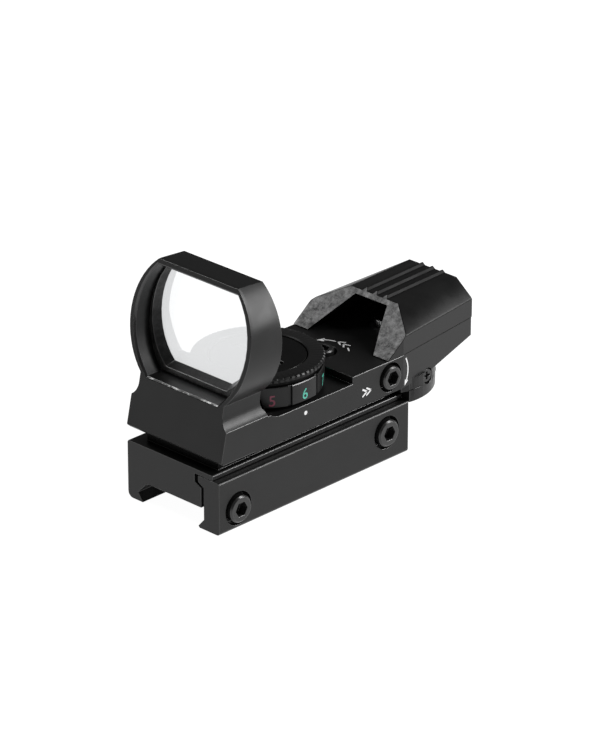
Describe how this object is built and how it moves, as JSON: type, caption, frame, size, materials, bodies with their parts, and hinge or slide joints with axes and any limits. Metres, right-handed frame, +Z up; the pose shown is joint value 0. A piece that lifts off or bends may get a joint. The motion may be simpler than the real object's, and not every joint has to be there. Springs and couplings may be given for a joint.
{
  "type": "red dot finder",
  "caption": "Open reflex red dot sight: tilted lens frame, brightness dial, hooded emitter, adjusters and a screw clamp base for a dovetail rail.",
  "frame": {"origin": "centre of the flat seat under the base that rests on the rail", "axes": "+Z up, -Y towards the lens at the front, +X towards the clamp screws"},
  "size_m": [0.038, 0.0866, 0.0572],
  "materials": {
    "black_anodised": "satin black anodised",
    "black_screw": "black oxide",
    "bright_steel": "bright",
    "brass": "plain",
    "coated_glass": "coated and polished",
    "black_rubber": "matte",
    "black_plastic": "matte",
    "circuit_board": "green board",
    "red_led": "clear red",
    "red_wire": "insulated wire",
    "white_ink": "printed ink",
    "red_ink": "printed ink",
    "green_ink": "printed ink"
  },
  "bodies": {
    "base": {"rail_base": "black_anodised", "pivot_screw": "bright_steel", "windage_post": "bright_steel"},
    "clamp": {"clamp_plate": "black_anodised"},
    "front_clamp_screw": {"clamp_screw_front": "black_screw"},
    "rear_clamp_screw": {"clamp_screw_rear": "black_screw"},
    "yaw_block": {"pivot_block": "black_anodised", "pivot_pin": "bright_steel", "elevation_nut": "bright_steel"},
    "sight": {"sight_body": "black_anodised", "lens": "coated_glass", "lens_retainer": "black_plastic", "hood": "black_anodised", "hood_screw_left": "black_screw", "hood_screw_right": "black_screw", "emitter_block": "black_plastic", "led": "red_led", "emitter_cable": "red_wire", "switch_board": "circuit_board", "battery_cup": "black_plastic", "battery": "bright_steel", "contact_spring": "brass", "dial_snap_ring": "bright_steel", "dial_detent_ball": "bright_steel", "dial_detent_spring": "bright_steel", "drum_bush": "brass", "selector_cover": "black_anodised", "selector_detent_ball": "bright_steel", "selector_detent_spring": "bright_steel", "boss_screw_left": "black_screw", "boss_screw_right": "black_screw", "elevation_spring": "bright_steel"},
    "windage": {"windage_screw": "black_screw"},
    "elevation": {"elevation_screw": "black_screw"},
    "dial": {"brightness_dial": "black_anodised"},
    "seal": {"cap_seal": "black_rubber"},
    "cap": {"battery_cap": "black_anodised"},
    "selector": {"reticle_drum": "black_plastic", "reticle_mask": "black_screw", "selector_lever": "black_screw"}
  },
  "joints": [
    {"name": "clamp_slide", "type": "slide", "parent": "base", "child": "clamp", "axis": [1, 0, 0], "range_m": [0, 0.0028]},
    {"name": "front_clamp_screw_turn", "type": "hinge", "parent": "clamp", "child": "front_clamp_screw", "pos_m": [0.0158, -0.0248, -0.0002], "axis": [1, 0, 0], "range_deg": [0, 1442]},
    {"name": "rear_clamp_screw_turn", "type": "hinge", "parent": "clamp", "child": "rear_clamp_screw", "pos_m": [0.0158, 0.0236, 0.0022], "axis": [1, 0, 0], "range_deg": [0, 1442]},
    {"name": "windage_yaw", "type": "hinge", "parent": "base", "child": "yaw_block", "pos_m": [0, -0.0208, 0.011], "axis": [0, 0, 1], "range_deg": [-0.8, 0.8]},
    {"name": "elevation_pitch", "type": "hinge", "parent": "yaw_block", "child": "sight", "pos_m": [0, -0.0256, 0.0142], "axis": [1, 0, 0], "range_deg": [-0.8, 0.8]},
    {"name": "windage_screw_turn", "type": "hinge", "parent": "sight", "child": "windage", "pos_m": [0.01617, 0.0242, 0.0162], "axis": [1, 0, 0], "range_deg": [-455, 455]},
    {"name": "elevation_screw_turn", "type": "hinge", "parent": "sight", "child": "elevation", "pos_m": [0, 0.0172, 0.0212], "axis": [0, 0, 1], "range_deg": [-435, 435]},
    {"name": "dial_turn", "type": "hinge", "parent": "sight", "child": "dial", "pos_m": [0, -0.00374, 0.019], "axis": [0, 0, 1], "continuous": true},
    {"name": "cap_lift", "type": "slide", "parent": "sight", "child": "seal", "axis": [0, 0, 1], "range_m": [0, 0.00151]},
    {"name": "cap_turn", "type": "hinge", "parent": "seal", "child": "cap", "pos_m": [0, -0.00374, 0.0252], "axis": [0, 0, 1], "range_deg": [0, 540]},
    {"name": "selector_swing", "type": "hinge", "parent": "sight", "child": "selector", "pos_m": [0, 0.039, 0.0118], "axis": [0, 0, 1], "range_deg": [-40, 20]}
  ],
  "couplings": [
    {"joint": "front_clamp_screw_turn", "follows": "clamp_slide", "rad_per_m": 8976},
    {"joint": "rear_clamp_screw_turn", "follows": "clamp_slide", "rad_per_m": 8976},
    {"joint": "windage_screw_turn", "follows": "windage_yaw", "ratio": -565.49},
    {"joint": "elevation_screw_turn", "follows": "elevation_pitch", "ratio": 537.84},
    {"joint": "cap_lift", "follows": "cap_turn", "m_per_rad": 0.00015915}
  ]
}
